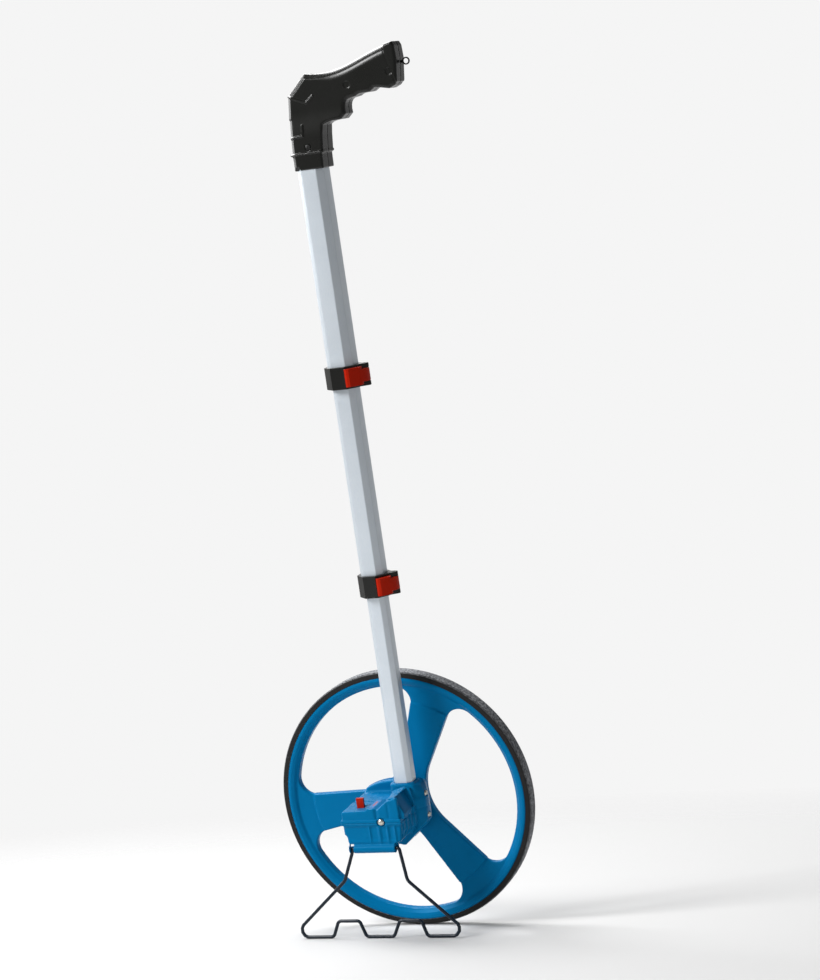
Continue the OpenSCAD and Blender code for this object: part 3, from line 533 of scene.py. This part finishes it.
# Side view of the handle, from the pole's middle and the handle's bottom
GRIP = (
    [(19, 0), (19.3, 16.5), (21.3, 17.6), (21.3, 20.4), (23, 37.5)]
    + bezier((24.8, 47.5), (30, 51.5), (38, 50.5), (47, 51), 5)
    + bezier((53.5, 56.5), (52.5, 64), (54, 71), (59, 72.3), 5)
    + bezier((67, 73.5), (72, 77.5), (78, 75.5), (85, 76.2), 6)
    + bezier((91, 79.8), (96, 80.2), (104, 77.5), (109, 76.7), 6)
    + [(115.5, 79.2), (119.5, 83), (122.5, 109), (121.8, 122.5)]
    + bezier((119.5, 127.3), (80, 122), (50, 97), (9, 106.5), 18)
    + [(-14.2, 84), (-17.2, 58.5), (-16.3, 56.5), (-17.8, 20.4), (-19.8, 19.2), (-19.8, 17),
       (-18.1, 15.8), (-18, 0)])
# The back of the grip, for its chamfer, and the raised lines of the moulding
SPINE = [(-18, 0), (-17, 58), (-14.2, 84), (9, 106.5)]
RIDGES = [[(-16.5, 37.2), (-0.2, 38.3), (0.5, 49.7)], [(-14.4, 84.4), (8.9, 74.3), (17.6, 81.1)],
          [(-19.8, 18.2), (21.3, 19)]]
# Each screw's place, and about how far out the front shell's face is there
HANDLE_SCREWS = [(60.3, 87.7, 14.8), (112, 95.5, 14.8), (4, 25.2, 17.4)]


def handle_shape(side):
    """One shell of the handle: side -1 is the front one and 1 the rear one."""
    grip = rounded(GRIP, 1.2, 3)

    def shape(p):
        x, y, z = p[:, 0] - POLE[0], p[:, 1] - POLE[1], p[:, 2] - HANDLE_Z
        flat = outline_distance(x, z, grip)
        # Full round the tube, slimmer over the grip, full again at the end cap
        sleeve = 1 - 0.25 * rise(z, 60, 40)
        cap = rise(x + 0.25 * (z - 100), 113.5, 116)
        half = 14.6 + 0.4 * cap + 2.5 * rise(z, 66, 34) + 0.3 * rise(z, 36, 20)
        # The top of the grip is a broad round and the finger side a smaller one
        top = rise(z - 0.33 * x, 64, 78)
        r = 3.2 + 7.2 * top * rise(x, 4, 45) * (1 - cap) + 1.5 * rise(x, 30, 60) * (1 - cap)
        d = thick(flat, np.abs(y) - half, r * sleeve)
        # Long chamfers down the back and over the top of the grip
        spine = rise(line_distance(x, z, SPINE), 12, 7)
        chamfer = np.maximum(spine, top * (1 - cap) * rise(x, 2, 9))
        chamfer = -7 + (12.3 + 1.7 * rise(x, 20, 70)) * chamfer
        d = common(d, (flat + np.abs(y) - half + chamfer) * 0.7071, 0.8)
        # Shallow recesses at the screws, in the front shell
        if side < 0:
            for sx, sz, out in HANDLE_SCREWS:
                well = rod(np.stack([x, y, z], 1), 1, (sx, sz), -out - 3, -out + 1.1, 3.9, 0.5)
                d = common(d, -well, 0.7)
        # Raised lines of the moulding, on both shells
        lines = np.minimum.reduce([line_distance(x, z, line) for line in RIDGES])
        ridge = np.maximum(hypot(lines, np.maximum(d, 0)) - 1.25, flat - 0.3)
        d = union(d, ridge, 0.7)
        # A groove where the end cap starts, and one between the two shells
        d = d + 0.35 * np.exp(-((x + 0.25 * (z - 100) - 113.2) / 0.7) ** 2)
        d = d + 0.45 * np.exp(-(y / 0.45) ** 2)
        bore = outline_distance(x, y, octagon(TUBE_AF["top"]))
        d = np.maximum(d, -np.maximum(bore, z - 7))
        return common(d, (0.02 - y) if side > 0 else (y + 0.02), 0)

    return shape


def make_handle():
    x0, x1 = POLE[0] - 24, POLE[0] + 125
    z0, z1 = HANDLE_Z - 1, HANDLE_Z + 130
    for name, side, near, far in (("front", -1, -21, 1), ("rear", 1, -1, 21)):
        points, faces = net(handle_shape(side), (x0, POLE[1] + near, z0), (x1, POLE[1] + far, z1),
                            FINE)
        piece("handle_" + name, points, faces, "top_pole", "black_plastic",
              ["handle_" + name + "_shell"])


# Casings ----------------------------------------------------------------------------------

# Side views of the gearbox's body and of the dome behind the pole
DECK = [(-45.5, -22), (-45.5, 13.5), (-44, 15), (38, 15), (41.5, 13), (41.5, -14), (12, -40),
        (-14, -40)]
DOME_MIDDLE, DOME_R = (-6, -46), 75
DOME = [(-42, -22)] + [(DOME_MIDDLE[0] + DOME_R * math.cos(math.radians(a)),
                        DOME_MIDDLE[1] + DOME_R * math.sin(math.radians(a)))
                       for a in np.linspace(118.7, 84, 12)] + [
    (16, 27.6), (29, 24.6), (38.5, 19), (41.5, 13), (41.5, -14), (12, -40), (-14, -40)]
# The gearbox's corner towards the user, from the side of the stand
CORNER = [(33, -57), (41.5, -46.5)]
# Where the folds of the hood and tray start, and how far each goes out and up
FOLDS = [(-88, 1.6, 0.6), (-80.5, 3.4, 1.4), (-73, 5.4, 2.4), (-65.5, 7.5, 3.5)]
# Pillars for the screws that hold the housing together, and the height of their tops
PILLARS = [(-41, -89), (-41, -63), (-10, -88)]
PILLAR_TOP = 13
# Thickness of the gearbox's wall
WALL = 2.5
# Screws: the cover's and the front one in X and Z, and the heights of the pole's two
COVER_SCREWS = [(-37, -17), (-37.5, 9), (25, -9), (-8, -35)]
FRONT_SCREW = (2.1, 0.7)
POLE_SCREWS_Z = (18, -8.5)
# Where the stand's hinge pin is, in Y and Z
HINGE_AT = (-93, -31.7)


def gearbox_shape(p):
    x, y, z = p.T
    # The corner towards the user is a broad round, from the side of the stand
    plan = [(-47, -57), *CORNER, (41.5, -14.5), (-47, -14.5)]
    plan = outline_distance(x, y, rounded(plan, [1, 6, 9, 2, 1]))
    low = thick(outline_distance(x, z, rounded(DECK, 2.0)), plan, 1.6)
    column = [(1.5, -57), *CORNER, (41.5, -14.5), (1.5, -14.5)]
    column = outline_distance(x, y, rounded(column, [9, 6, 9, 2, 5]))
    column = thick(column, np.abs(z + 3) - 37, 3.0)
    column = common(column, np.maximum(-(x + z + 28) * 0.7, (0.881 * x - z - 50.6) * 0.75), 2)
    # Its top rolls over towards the user, and falls away behind the pole
    column = common(column, 0.66 * (x - 41.5) + 0.75 * (z - 25.5), 7)
    column = common(column, y + 24, 3)
    dome = slab(p, rounded(DOME, 2), -24.5, -14.5, 2.6)
    d = union(union(low, dome, 5), column, 6)
    # Collar round the bottom of the tube
    lip = outline_distance(x - POLE[0], y - POLE[1], rounded(octagon(27.5, 0.6), 3))
    lip = thick(lip, np.abs(z - 32.2) - 1.8, 1.2)
    d = union(d, lip, 2.5)
    # The two halves of the moulding meet in a fine line down the user's side
    d = d + 0.3 * np.exp(-((z - 3.2) / 0.4) ** 2) * rise(x, 30, 38)
    # The upright edge behind the pole is cut off
    d = common(d, 0.8436 * (x - 41.5) + 0.5368 * (y + 31), 4)
    outside = d
    d = common(d, y + 14.5)
    # Hollow inside, apart from the pole's socket, the axle's boss and the cover's screw posts
    cavity = np.maximum(outside + WALL, -(y + 54.5))
    solid = np.minimum(box_distance(p, (2, 39.5), (-56, -26.6), (-24, 33)),
                       rod(p, 1, (0, 0), -56, -21, 9.5))
    for at in COVER_SCREWS:
        solid = np.minimum(solid, rod(p, 1, at, -40, -14.5, 3.2))
    d = common(d, -np.maximum(cavity, -solid))
    bore = outline_distance(x - POLE[0], y - POLE[1], octagon(TUBE_AF["lower"] + 0.4))
    d = np.maximum(d, -np.maximum(bore, -(z + 20)))
    d = np.maximum(d, -rod(p, 1, (0, 0), -50, -10, 5))
    for sz in POLE_SCREWS_Z:
        d = common(d, -rod(p, 0, (POLE[1], sz), 41.1, 46, 4.3), 0.6)
        d = np.maximum(d, -rod(p, 0, (POLE[1], sz), 24, 45, 1.7))
    return d


# Side views of the upper casing and of the block that holds its window, outside and inside
HOOD = [(-47, -6), (-47, 12.6), (-45.8, 13.9), (-15.8, 15), (-14.6, 16.9), (-6, 16.9), (-1.2, 15.2),
        (11, 25), (22.5, 28.7), (25.5, 26.5), (25.5, -6)]
HOOD_INSIDE = [(-44.5, -1), (-44.5, 11.3), (-17, 12.4), (-1, 12.4), (12, 22.5), (21.3, 26.2),
               (23, 24), (23, -1)]
WINDOW_BLOCK = [(8, 20), (14, 28.3), (22, 29.5), (31, 9), (31, 3), (20, 3)]
WINDOW_INSIDE = [(8, 18), (14, 26.3), (22, 27.5), (29, 10), (29, 5), (20, 5)]


def window_axes(p):
    """Coordinates in the frame of the sloping window: down the slope, across, and out of it."""
    a = math.radians(66)
    x, z = p[:, 0] - 26.5, p[:, 2] - 19
    return np.stack([x * math.cos(a) - z * math.sin(a), p[:, 1],
                     x * math.sin(a) + z * math.cos(a)], 1)


def upper_shape(p):
    x, y, z = p.T
    # Shallow grooves down the front, and a step above the seam
    front = -95 + 1.6 * np.exp(-((x + 3) / 2.2) ** 2) * rise(z, 0, 6) - 0.5 * rise(z, 4.2, 3.4)
    front = front + 0.7 * np.exp(-((x - 12.8) / 1.6) ** 2) * rise(z, 3, 6) * rise(z, 25, 20)
    depth = np.maximum(front - y, y + 57.3)
    hood = rounded(HOOD, [0, 1, 1, 1, 0.8, 0.8, 2.5, 2, 1.5, 1.5, 0], 3)
    d = thick(outline_distance(x, z, hood), depth, 1.3)
    # Folds step out and up towards the socket of the pole
    for y0, out, up in FOLDS:
        step = [(10 - up, 14), (10.4 - up * 0.5, 24.6 + up), (22.5, 28.7 + up),
                (25.5 + out * 0.6, 26.5 + up), (25.5 + out, 14), (25.5 + out, -4), (14, -4)]
        d = union(d, slab(p, rounded(step, 1.8, 3), y0, -54, 1.6), 1.2)
    d = common(d, y + 57.05)
    d = union(d, slab(p, rounded(WINDOW_BLOCK, 1.2, 3), -91.5, -60, 1.1), 0.8)
    flange = slab(p, [(-48.8, -6), (-48.8, 4), (27.2, 4), (27.2, -6)], -96.2, -57.3, 0.8)
    d = union(d, flange, 0.8)
    d = common(d, -(z - 0.1), 0.3)
    inside = np.minimum(slab(p, HOOD_INSIDE, -92.5, -50, 0), slab(p, WINDOW_INSIDE, -89.5, -62, 0))
    d = np.maximum(d, -inside)
    # Openings: the window's seat and hole, the reset tab, the label's bed and the front screw
    w = window_axes(p)
    d = common(d, -box_distance(w, (-11, 11), (-89.5, -62), (-1.2, 9), 0.8), 0.5)
    d = np.maximum(d, -box_distance(w, (-9, 9), (-87.5, -64), (-9, 6)))
    d = common(d, -box_distance(p, (-32.2, -22.2), (-81.5, -71.5), (8, 20), 0.8), 0.5)
    d = common(d, -box_distance(p, (-13.8, -6.8), (-90, -60), (16.3, 20), 0.3), 0.2)
    d = common(d, -rod(p, 1, FRONT_SCREW, -98, -93.8, 5.2, 0.4), 0.6)
    for at in PILLARS:
        d = np.minimum(d, np.maximum(rod(p, 2, at, 0.2, PILLAR_TOP, 3.4),
                                     -rod(p, 2, at, -1, PILLAR_TOP - 2, 1.3)))
    # Ears for the reset lever's pin
    for ear in (-38, -20):
        d = np.minimum(d, np.maximum(box_distance(p, (ear, ear + 2.5), (-84, -74), (2, 14)),
                                     -rod(p, 0, (-79, 6), ear - 1, ear + 4, 1.3)))
    return d


# Side view of the lower casing, outside and inside
TRAY = [(-47, 8), (-47, -13.5), (-44.4, -16.5), (-43.2, -24.5), (23, -24.5), (25.5, -11), (25.5, 8)]
TRAY_INSIDE = [(-44.5, 1), (-44.5, -11), (-41, -22), (20.5, -22), (23, -11), (23, 1)]


def lower_shape(p):
    x, y, z = p.T
    # Shallow bays between upright ribs on the front
    ribs = sum(np.exp(-((x - c) / w) ** 2)
               for c, w in ((-14.2, 1.6), (-1.6, 2.2), (8.8, 1.8), (18, 1.6)))
    front = -95.6 + 1.5 * (1 - np.clip(ribs, 0, 1)) * rise(x, -17, -12) * rise(z, -2.5, -6)
    front = front + 0.9 * rise(x, -12, -17) * rise(z, -3.2, -5.5)
    depth = np.maximum(front - y, y + 57.3)
    d = thick(outline_distance(x, z, rounded(TRAY, [0, 1.5, 2, 3, 3, 4, 0], 4)), depth, 2.2)
    flange = slab(p, [(-48.8, 8), (-48.8, -2.6), (27.2, -2.6), (27.2, 8)], -96.2, -57.3, 0.8)
    d = union(d, flange, 0.7)
    d = common(d, z + 0.1, 0.3)
    # Barrel of the stand's hinge, on a broad root
    root = box_distance(p, (-42.6, 17.6), (-94.2, -86), (-29, -22), 1.5)
    d = union(d, root, 3)
    for y0, out, up in FOLDS:
        side = [(14, 4), (25.5 + out, 4), (25.5 + out, -12), (19 + out, -21 - up), (14, -22)]
        d = union(d, slab(p, rounded(side, 2, 3), y0, -54, 1.6), 1.2)
    d = common(common(d, z + 0.1, 0.3), y + 57.05)
    d = union(d, rod(p, 0, HINGE_AT, -43, 18, 5.25, 1.3), 1.8)
    d = np.maximum(d, -slab(p, TRAY_INSIDE, -92.5, -50, 0))
    # Slots that the legs of the stand swing through
    for x0, x1 in ((-41.6, -36.8), (15.2, 22)):
        kept = np.maximum(-(y + 90.6), -(z - HINGE_AT[1]))
        cut = np.maximum(box_distance(p, (x0, x1), (-100, -85), (-39, -25.6)), -kept)
        d = np.maximum(d, -cut)
    d = np.maximum(d, -rod(p, 0, HINGE_AT, -41.6, 40, 2.06))
    d = common(d, -rod(p, 1, FRONT_SCREW, -98, -93.8, 5.2, 0.4), 0.6)
    d = np.maximum(d, -rod(p, 1, FRONT_SCREW, -98, -90, 1.6))
    for at in PILLARS:
        d = np.minimum(d, rod(p, 2, at, -23, -0.2, 4.2))
        d = np.maximum(d, -np.minimum(rod(p, 2, at, -30, -18, 3), rod(p, 2, at, -24, 1, 1.5)))
    return d


def make_casings():
    for name, shape, low, high, node in (
            ("gearbox", gearbox_shape, (-47, -58.5, -42), (44, -12.5, 36), "gearbox_body"),
            ("upper_casing", upper_shape, (-51, -98.5, -2), (37, -55.5, 36), "upper_housing"),
            ("lower_casing", lower_shape, (-51, -101, -39), (37, -55.5, 2), "lower_housing")):
        piece(name, *net(shape, low, high, FINE), "frame", "blue_plastic", [node])


# Stand, pole and wheel --------------------------------------------------------------------

HINGE = Vector((-11.5, *HINGE_AT))
SPLAY = math.radians(12.3)
WIRE_R = 2
# Centre line of the wire from one end to the other: across from the hinge, down the plane, bend
WIRE = [(-25, 0, 0), (-27.6, 0, 2.5), (-41, 37.5, 12), (-113.8, 102.9, 8.5), (-59.5, 102.9, 5),
        (-52.5, 84.5, 5), (-25.5, 84.5, 5), (-17.5, 102.9, 5), (17.5, 102.9, 5), (25.5, 84.5, 5),
        (52.5, 84.5, 5), (59.5, 102.9, 5), (113.8, 102.9, 8.5), (38.5, 38, 12), (30.6, 0, 2.5),
        (26.5, 0, 0)]


def make_wire():
    flat = [(a, b) for a, b, _ in WIRE]
    radii = [r for _, _, r in WIRE]
    # rounded() takes the line as closed, so its two ends have no radius and stay plain points
    line = rounded(flat, radii, 8)
    line = [Vector((a, -b * math.sin(SPLAY), -b * math.cos(SPLAY))) + HINGE for a, b in line]
    out = Vector((0, math.cos(SPLAY), -math.sin(SPLAY)))
    points, faces, n = [], [], 16
    for i, at in enumerate(line):
        before = (at - line[i - 1]).normalized() if i else (line[1] - at).normalized()
        after = (line[i + 1] - at).normalized() if i + 1 < len(line) else before
        side = (before + after).normalized().cross(out).normalized()
        side = side / max(0.7, math.cos(before.angle(after, 0) / 2))
        for k in range(n):
            a = 2 * math.pi * k / n
            points.append(tuple(at + side * (WIRE_R * math.cos(a)) + out * (WIRE_R * math.sin(a))))
    for i in range(len(line) - 1):
        for k in range(n):
            a, b = i * n + k, i * n + (k + 1) % n
            faces.append((a, a + n, b + n, b))
    faces.append(tuple(range(n)))
    faces.append(tuple((len(line) - 1) * n + k for k in reversed(range(n))))
    piece("stand_loop", points, faces, "stand", "stand_steel", ["stand_wire"])


def make_tube(name, z0, z1, body):
    """One section of the pole: a thin-walled tube with eight sides and soft corners."""
    outer = rounded(octagon(TUBE_AF[name]), 2.0)
    inner = rounded(octagon(TUBE_AF[name] - 2), 1.2)
    n = len(outer)
    points = [(POLE[0] + a, POLE[1] + b, z)
              for ring, z in ((outer, z0), (outer, z1), (inner, z1), (inner, z0)) for a, b in ring]
    faces = [(i * n + k, i * n + (k + 1) % n, (i + 1) % 4 * n + (k + 1) % n, (i + 1) % 4 * n + k)
             for i in range(4) for k in range(n)]
    piece("tube_" + name, points, faces, body, "tube_aluminium", [name + "_tube"], sharp=50)


TYRE_R = 159.15
RIM_R = 152.15
# A window's outer radius from the axle, the radii of its outer and inner corners, how far out its
# sides would meet, the half angle between them, and the degrees that the first one is turned
WINDOW_R, WINDOW_OUTER, WINDOW_INNER, WINDOW_APEX = 140, 19, 60, 15.3
WINDOW_HALF, WINDOW_TURN = math.radians(54.6), 7.5
# Half of the disc's thickness against the radius
RIM = [(0, 5), (120, 5), (121.5, 2.8), (141.5, 5.4), (144.5, 8.2), (146, 8.8), (148.2, 9.9), (153, 9.9)]


def arc(cx, cy, r, a0, a1, n):
    """n + 1 points on a circle, from angle a0 to a1."""
    return [(cx + r * math.cos(a0 + (a1 - a0) * i / n), cy + r * math.sin(a0 + (a1 - a0) * i / n))
            for i in range(n + 1)]


def window_outline():
    """One window, with its middle line along the first axis."""
    reach = WINDOW_R - WINDOW_OUTER
    turn = WINDOW_HALF - math.asin((WINDOW_OUTER + WINDOW_APEX * math.sin(WINDOW_HALF)) / reach)
    cx, cy = reach * math.cos(turn), reach * math.sin(turn)
    side = math.pi / 2 + WINDOW_HALF
    inner = WINDOW_APEX + WINDOW_INNER / math.sin(WINDOW_HALF)
    return (arc(0, 0, WINDOW_R, -turn, turn, 24)[1:-1] + arc(cx, cy, WINDOW_OUTER, turn, side, 20)
            + arc(inner, 0, WINDOW_INNER, side, 2 * math.pi - side, 24)
            + arc(cx, -cy, WINDOW_OUTER, -side, -turn, 20))


def wheel_field():
    """The distance to the windows over a fine grid of the wheel's plane, for looking up."""
    step, reach = 0.6, 156
    side = np.arange(-reach, reach + step, step)
    u, v = (a.ravel() for a in np.meshgrid(side, side, indexing="ij"))
    near = np.full(len(u), 1e9)
    for i in range(3):
        a = math.radians(WINDOW_TURN + 120 * i)
        c, s = math.cos(a), math.sin(a)
        near = np.minimum(near, outline_distance(u * c + v * s, v * c - u * s, window_outline()))
    near = near.reshape(len(side), len(side))

    def look(x, z):
        i, j = (x + reach) / step, (z + reach) / step
        a, b = (np.clip(c.astype(int), 0, len(side) - 2) for c in (i, j))
        s, t = i - a, j - b
        return ((near[a, b] * (1 - s) + near[a + 1, b] * s) * (1 - t)
                + (near[a, b + 1] * (1 - s) + near[a + 1, b + 1] * s) * t)

    return look


def make_wheel():
    windows = wheel_field()
    radius = np.linspace(0, 160, 1601)
    half = np.interp(radius, *zip(*RIM))
    # The profile's corners are softened, as the moulding's are
    bell = np.exp(-(np.linspace(-3, 3, 31) ** 2) / 1.2)
    half = np.convolve(np.pad(half, 15, "edge"), bell / bell.sum(), "valid")
    slope = np.gradient(half, radius)

    def shape(p):
        x, y, z = p.T
        r = hypot(x, z)
        across = np.abs(y) - np.interp(r, radius, half)
        across = across / np.sqrt(1 + np.interp(r, radius, slope) ** 2)
        d = thick(common(r - RIM_R, -windows(x, z)), across, 1.6)
        d = union(d, rod(p, 1, (0, 0), -11, 13, 22, 1.2), 3)
        return np.maximum(d, -rod(p, 1, (0, 0), -20, 20, 8))

    made = net(shape, (-153, -12, -153), (153, 14.5, 153), FINE * 1.15)
    piece("wheel", *made, "wheel", "blue_plastic", ["wheel_disc"])


def lathe(profile, n):
    """Turns a closed profile of (radius, place along the axle) round the axle."""
    m = len(profile)
    points = [(r * math.cos(2 * math.pi * i / n), y, r * math.sin(2 * math.pi * i / n))
              for i in range(n) for r, y in profile]
    faces = [(i * m + k, i * m + (k + 1) % m, (i + 1) % n * m + (k + 1) % m, (i + 1) % n * m + k)
             for i in range(n) for k in range(m)]
    return points, faces


def make_tyre():
    # A flat tread with round shoulders, on a seat as wide as the rim
    flat = [(RIM_R, -10), (157.4, -10), (TYRE_R, -7.2), (TYRE_R, 7.2), (157.4, 10), (RIM_R, 10)]
    profile = rounded(flat, [0, 1.6, 2.2, 2.2, 1.6, 0])
    tread = [(TYRE_R, -7 + 14 * k / 12) for k in range(1, 12)]
    cut = max(i for i, q in enumerate(profile) if q[1] < 0)
    profile = profile[:cut + 1] + tread + profile[cut + 1:]
    points, faces = lathe(profile, 480)
    piece("tyre_ring", points, faces, "wheel", "tyre_rubber", ["tyre"], sharp=60)


# CAD nodes that stay, with fine edges ------------------------------------------------------

# Width of each bevelled node's edges, in millimetres
BEVELS = {
    "hub_cap": 0.8, "gearbox_cover": 0.7, "front_screw": 0.3, "pole_screws": 0.3,
    "reset_lever": 0.6, "lower_clamp_collar": 0.8, "upper_clamp_collar": 0.8,
    "lower_clamp_lever": 0.7, "upper_clamp_lever": 0.7, "label_plate": 0.2, "axle_nut": 0.3,
}


def finish_node(node, material):
    """Gives a CAD node its material, smooth shading and fine edges."""
    obj = frame["nodes"][node]
    obj.data.materials.clear()
    obj.data.materials.append(material)
    for face in obj.data.polygons:
        face.use_smooth = True
    weld = obj.modifiers.new("weld", "WELD")
    weld.merge_threshold = 0.00001
    if node in BEVELS:
        bevel = obj.modifiers.new("edges", "BEVEL")
        bevel.width = BEVELS[node] * MM
        bevel.segments = 3
        bevel.limit_method = "ANGLE"
        bevel.angle_limit = math.radians(28)
        bevel.harden_normals = False
    normals = obj.modifiers.new("normals", "WEIGHTED_NORMAL")
    normals.keep_sharp = True
    normals.weight = 80


make_camera()
make_floor()
make_room()
MATERIALS = make_materials()
SLOTS = {s["node"]: s["material_slot"] for s in frame["record"]["subparts"]}
for name in frame["nodes"]:
    finish_node(name, MATERIALS["dark_steel" if name == "handle_screws" else SLOTS[name]])
make_handle()
make_casings()
make_wire()
make_tube("lower", -20, 320, "frame")
make_tube("mid", 262.5, 553, "mid_pole")
make_tube("top", 510, 800, "top_pole")
make_wheel()
make_tyre()
